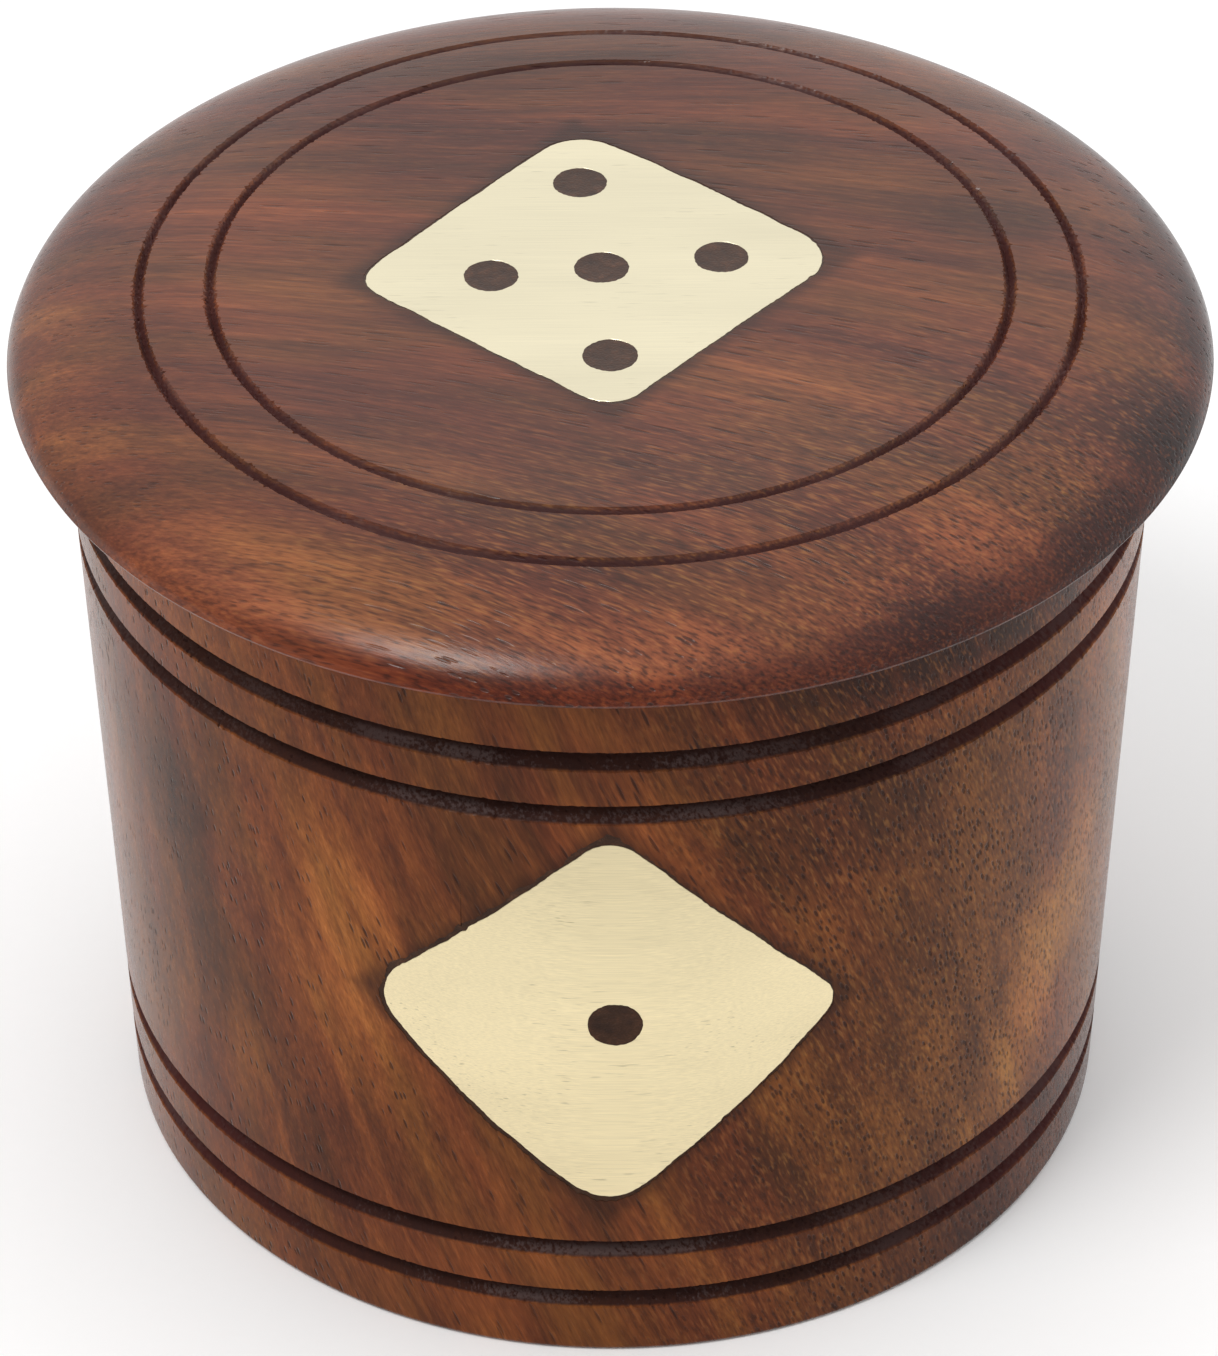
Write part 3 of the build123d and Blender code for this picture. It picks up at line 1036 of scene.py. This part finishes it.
def make_lid_wood():
    """The lid: fibres run left to right and lean more towards the front."""
    shader = Shader("lid_wood")
    x, y, z = shader.split(shader.place)
    radius = shader.math("SQRT", x * x + y * y)
    lean = (20.0 - y) * 0.0075 + 0.07
    flowing = shader.join(x, y + x * lean, z)
    fibres = wandering_fibres(shader, flowing, (1, 0, 0), (0, 1, 0), (0, 0, 1), 1.2)
    figure = fibres.noise(80, 8, 3, 0.55)
    flat = shader.join(x, y + fibres.noise(30, 1.6, 2) * 5)
    warmth = sum_of_spots(shader, flat, LID_SPOTS) + figure * 0.5 + 0.44
    upper = shader.rise(z, TOTAL_HEIGHT - 3, TOTAL_HEIGHT - 2.5)
    under = shader.rise(z, CUP_HEIGHT + 0.1, CUP_HEIGHT + 0.45, 1.0, 0.0)
    return finished_wood(
        shader, fibres, warmth, LID_SHADES,
        long_pores=shader.rise(x - y * 0.6, -5, 40) * 0.4 + 0.5,
        short_pores=shader.rise(x - y, 40, 62) * 0.7,
        # the grooves take a painted shade
        groove=lid_groove(shader, fibres, radius, z) * upper * 0.85,
        groove_shade_colour=RED_GROOVE_SHADE,
        stain=inlay_stain(shader, shader.join(x, y), LID_PLATE_CORNERS) * upper,
        tone=lid_tone(shader, fibres, x, z),
        flecks=shader.rise(y * -1.0 + x * 0.4, 5, 38) * 0.5 + 0.12,
        bare=under,
        marks=turning_marks(shader, radius, z) * under,
        lacquer=0.26, ior=1.38,
    )


def inlay_stain(shader, flat, corners):
    """How much the wood is darkened by the filler: most at the plate's edge, none 2 mm away."""
    reaches = []
    for (u0, v0), (u1, v1) in zip(corners, corners[1:] + corners[:1]):
        length = math.hypot(u1 - u0, v1 - v0)
        normal = ((v0 - v1) / length, (u1 - u0) / length, 0)
        offset = normal[0] * u0 + normal[1] * v0
        # the corners run anticlockwise, so this normal points inwards
        reaches.append(shader.along(flat, normal) * -1.0 + offset)
    reach = reaches[0]
    for other in reaches[1:]:
        reach = shader.math("MAXIMUM", reach, other)
    return shader.rise(reach, 0.0, 1.7, 0.6, 0.0)


def cup_dust_and_light(shader, fibres, arc, z, outside):
    """Pale dusty grey and a painted sheen low in the wall's grooves, most of all near the front."""
    slopes = []
    for top in WALL_GROOVE_TOPS:
        bottom = top - WALL_GROOVE_WIDTH
        slope = shader.rise(z, bottom, bottom + 0.3)
        slopes.append(slope - shader.rise(z, bottom + 0.6, bottom + 1.0))
    fuzz = fibres.noise(0.55, 0.25, 2, 0.6)
    patchy = fibres.noise(9, 9, 2)
    dusty_and_lit = shader.rise(fuzz + patchy * 1.2, -0.06, 0.22)
    # painted light: the lower slopes are lighter near the front, where the key light falls
    lit_near_front = shader.rise(shader.math("ABSOLUTE", arc + 3), 8, 20, 1.0, 0.45)
    return dusty_and_lit * sum(slopes[1:], slopes[0]) * outside * lit_near_front * 0.6


def cup_tone(shader, fibres, arc, z, front, ripple):
    """The cup's tone: greener right of the plate, and a dark red painted shade low on the right."""
    olive = shader.rise(arc, 8, 30) * shader.rise(z, 52, 60, 1.0, 0.0) * front
    right = shader.rise(arc, 6, 38) * shader.rise(arc, 64, 90, 1.0, 0.0)
    # painted shade, dark red, low on the right side of the wall
    foot = shader.rise(z + ripple * 6, 9, 13, 1.0, 0.0) * right
    upper_tone = shader.mix(olive, patchy_hue(shader, fibres, 30, 7), OLIVE)
    return shader.mix(foot, upper_tone, FOOT_SHADE_RED)


def make_cup_wood():
    """The cup: fibres run down and to the right, with golden and dark streaks."""
    shader = Shader("cup_wood")
    x, y, z = shader.split(shader.place)
    radius = shader.math("SQRT", x * x + y * y)
    arc = shader.math("ARCTAN2", x, y * -1.0) * BEND_RADIUS
    down = Vector((0.38, 0.10, -0.92)).normalized()
    deep = Vector((0, 1, 0)).cross(down).normalized()
    across = down.cross(deep).normalized()
    fibres = wandering_fibres(shader, shader.place, down[:], deep[:], across[:], 1.6)
    figure = fibres.noise(70, 7, 3, 0.6)
    ripple = fibres.noise(22, 1.8, 2)
    flat = shader.join(arc + ripple * 6, z)
    warmth = sum_of_spots(shader, flat, CUP_SPOTS) + figure * 0.55 + 0.44
    depth = z * WALL_FLARE + FOOT_RADIUS - radius
    outside = shader.rise(radius, SPIGOT_RADIUS + 3, SPIGOT_RADIUS + 3.4)
    inside = 1.0 - outside
    front = shader.rise(y, -30, -20, 1.0, 0.0)
    standing = shader.rise(z, 0.4, 0.8) - shader.rise(z, CUP_HEIGHT - 1.0, CUP_HEIGHT - 0.6)
    low_left = shader.rise(arc, -40, -14, 1.0, 0.0) * shader.rise(z, 20, 30, 1.0, 0.0)
    red = shader.rise(arc, 14, 40) + low_left
    return finished_wood(
        shader, fibres, warmth, CUP_SHADES,
        long_pores=shader.rise(arc, 5, 25, 0.9, 0.3),
        short_pores=shader.rise(arc, -5, 15) * shader.rise(arc, 26, 46, 0.9, 0.5),
        # the grooves take a painted shade, redder on the right and low on the left
        groove=shader.rise(depth, 0.01, 0.18) * outside * standing * 0.92,
        groove_shade_colour=shader.mix(red, DARK_GROOVE_SHADE, RED_GROOVE_SHADE),
        # the grooves' lower slopes are dusty and carry a painted sheen
        dust_and_light=cup_dust_and_light(shader, fibres, arc, z, outside),
        stain=inlay_stain(shader, shader.join(arc, z), FRONT_PLATE_CORNERS) * front,
        flecks=shader.rise(arc, -5, 15) * 0.36 + 0.12,
        bare=inside,
        marks=turning_marks(shader, radius, z) * inside,
        tone=cup_tone(shader, fibres, arc, z, front, ripple),
        lacquer=0.26, ior=1.2, sheen=0.18,
    )


def make_die_wood(index, turn):
    """A die's wood: its grain follows the die's own turn."""
    shader = Shader(f"die_wood_{index}")
    angle = math.radians(turn)
    along = (math.cos(angle), math.sin(angle), 0.05)
    across = (-math.sin(angle), math.cos(angle), 0.0)
    shifted = shader.add("VectorMath", shader.place, (31.0 * index, 17.0, 5.0), operation="ADD")
    fibres = wandering_fibres(shader, shifted, along, across, (0, 0, 1), 0.8)
    warmth = fibres.noise(40, 4, 3, 0.6) * 0.6 + 0.5
    return finished_wood(shader, fibres, warmth, DIE_SHADES, long_pores=0.6, short_pores=0.3)


# ---------- brass and filler ----------
def make_brass(name, tint, grain_axes, brushing, roughness=0.36, painted_overhang_shade=0.0):
    """Brushed brass: fine strokes along the first axis, and a few deeper ones.

    The last argument paints shade on it high on the wall, under the lid."""
    shader = Shader(name)
    fibres = Fibres(shader, *[shader.along(shader.place, axis) for axis in grain_axes])
    strokes = fibres.noise(9, 0.09, 2, 0.6)
    slow = fibres.noise(30, 7, 2, 0.5)
    scratch = shader.rise(fibres.noise(2.4, 0.16, 1), 0.14, 0.27)
    scratch = scratch * shader.rise(fibres.noise(9, 6, 1), -0.06, 0.12)
    shade = (strokes * 0.40 - scratch * 0.34) * brushing + slow * 0.25 + 1.0
    height = shader.along(shader.place, (0, 0, 1))
    # painted shade from the lid's overhang, darker towards the top of the wall
    shade = shade - shader.rise(height, 34, 52) * painted_overhang_shade
    colour = shader.tint(tint, shade)
    rough = strokes * 0.2 + slow * 0.15 + roughness
    normal = shader.bump(strokes * 0.6 - scratch * 0.5, 0.004)
    return shader.finish(colour, rough, normal, Metallic=1.0)


def make_filler(name, lightness, ior):
    """Hard dark brown filler, mottled, with a dull shine."""
    shader = Shader(name)
    mottle = shader.noise(shader.place, 3.0, 0.6)
    finer = shader.add("VectorMath", shader.place, (6, 6, 6), operation="MULTIPLY")
    grains = shader.noise(finer, 2.0)
    colour = shader.ramp(
        mottle + grains * 0.5 + 0.5,
        (0.2, (30, 17, 11)),
        (0.55, (46, 28, 18)),
        (0.9, (70, 44, 30)),
    )
    normal = shader.bump(grains + mottle, 0.05)
    rough = grains * 0.2 + 0.42
    return shader.finish(shader.tint(colour, lightness), rough, normal, IOR=ior)


# ---------- building it ----------
lid_wood = make_lid_wood()
cup_wood = make_cup_wood()
horizontal = ((1, 0, 0), (0, 1, 0), (0, 0, 1))
upright = ((1, 0, 0), (0, 0, 1), (0, 1, 0))
lid_brass = make_brass("plate_brass_lid", (0.77, 0.705, 0.515, 1), horizontal, 0.6)
# the front plate has a painted shade high up, under the lid
front_brass = make_brass("plate_brass_front", (0.80, 0.69, 0.44, 1), upright, 1.0, painted_overhang_shade=0.22)
pin_brass = make_brass("pin_brass", (0.84, 0.70, 0.40, 1), horizontal, 1.0, roughness=0.26)
lid_filler = make_filler("dark_filler_lid", lightness=1.9, ior=1.4)
front_filler = make_filler("dark_filler_front", lightness=1.65, ior=1.2)

lid_pieces, lid_pocket = make_lid_inlay()
front_pieces, front_pocket = make_front_inlay()
lid = make_lid()
carve(lid, lid_pocket)
cup = make_cup()
carve(cup, front_pocket)

# each piece, the CAD node it stands for, its body, its slot and its material
built = [
    (lid, "lid", "lid", "lid_wood", lid_wood),
    (cup, "cup_body", "cup", "cup_wood", cup_wood),
]
inlays = (
    (lid_pieces, "lid", lid_brass, lid_filler),
    (front_pieces, "cup", front_brass, front_filler),
)
for pieces, body, brass, filler in inlays:
    for node, piece in pieces.items():
        if node.endswith("_plate"):
            built.append((piece, node, body, "plate_brass", brass))
        else:
            built.append((piece, node, body, "dark_filler", filler))
for index, (place, turn, numbers) in enumerate(DICE, start=1):
    die, pins = make_die(index, place, turn, numbers)
    name = f"die_{index}"
    built.append((die, name, name, "die_wood", make_die_wood(index, turn)))
    built.append((pins, f"{name}_pips", name, "pin_brass", pin_brass))

for piece, node, body, slot, material in built:
    piece.data.materials.clear()
    piece.data.materials.append(material)
    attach(piece, body)
    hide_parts(node)


# ---------- floor, light and camera ----------
def make_floor():
    """A pale floor that reaches well past the view."""
    reach = 3000
    bm = bmesh.new()
    bmesh.ops.create_grid(bm, x_segments=8, y_segments=8, size=reach)
    floor = make_object("floor", bm)
    shader = Shader("floor")
    soft = shader.noise(shader.place, 1.0) * 0.01 + 0.96
    grey = shader.join(soft, soft, soft)
    floor.data.materials.append(shader.finish(grey, 0.9, Specular_IOR_Level=0.0))


def make_softbox(name, direction, distance, size, power):
    """A round area light that faces the object, on the side that the direction gives."""
    light = bpy.data.lights.new(name, "AREA")
    light.shape = "DISK"
    light.size = size
    light.energy = power
    holder = bpy.data.objects.new(name, light)
    aim = Vector(direction).normalized()
    holder.location = aim * distance + Vector((0, 0, TOTAL_HEIGHT * MM / 2))
    holder.rotation_euler = aim.to_track_quat("Z", "Y").to_euler()
    bpy.context.scene.collection.objects.link(holder)


def make_world():
    """White surroundings, brightest above and behind, and a little brighter on the right."""
    world = bpy.data.worlds.new("studio")
    world.use_nodes = True
    nodes, links = world.node_tree.nodes, world.node_tree.links
    toward = nodes.new("ShaderNodeTexCoord").outputs["Generated"]
    slope = nodes.new("ShaderNodeVectorMath")
    slope.operation = "DOT_PRODUCT"
    slope.inputs[1].default_value = (0.17, 0.30, 0.50)
    level = nodes.new("ShaderNodeMath")
    level.operation = "ADD"
    level.inputs[1].default_value = 0.60
    links.new(toward, slope.inputs[0])
    links.new(slope.outputs["Value"], level.inputs[0])
    links.new(level.outputs[0], nodes["Background"].inputs["Strength"])
    nodes["Background"].inputs["Color"].default_value = (1, 1, 1, 1)
    bpy.context.scene.world = world


def make_camera():
    """The photograph's view: a long lens in front of the cup, looking down on the lid."""
    place = (0, -0.36554, 0.31774)
    pan, tilt, roll = -0.00062, 0.65907, -0.00578
    turn = Matrix.Rotation(-pan, 4, "Z") @ Matrix.Rotation(math.pi / 2 - tilt, 4, "X")
    camera = bpy.data.objects.new("camera", bpy.data.cameras.new("camera"))
    camera.matrix_world = Matrix.Translation(place) @ turn @ Matrix.Rotation(roll, 4, "Z")
    camera.data.sensor_width = 36
    camera.data.lens = 159.292
    camera.data.clip_start = 0.01
    bpy.context.scene.collection.objects.link(camera)
    bpy.context.scene.camera = camera


make_floor()
make_world()
make_softbox("key", direction=(-0.34, -0.37, 0.87), distance=0.9, size=0.32, power=3.0)
make_camera()
bpy.context.scene.view_settings.view_transform = "Standard"
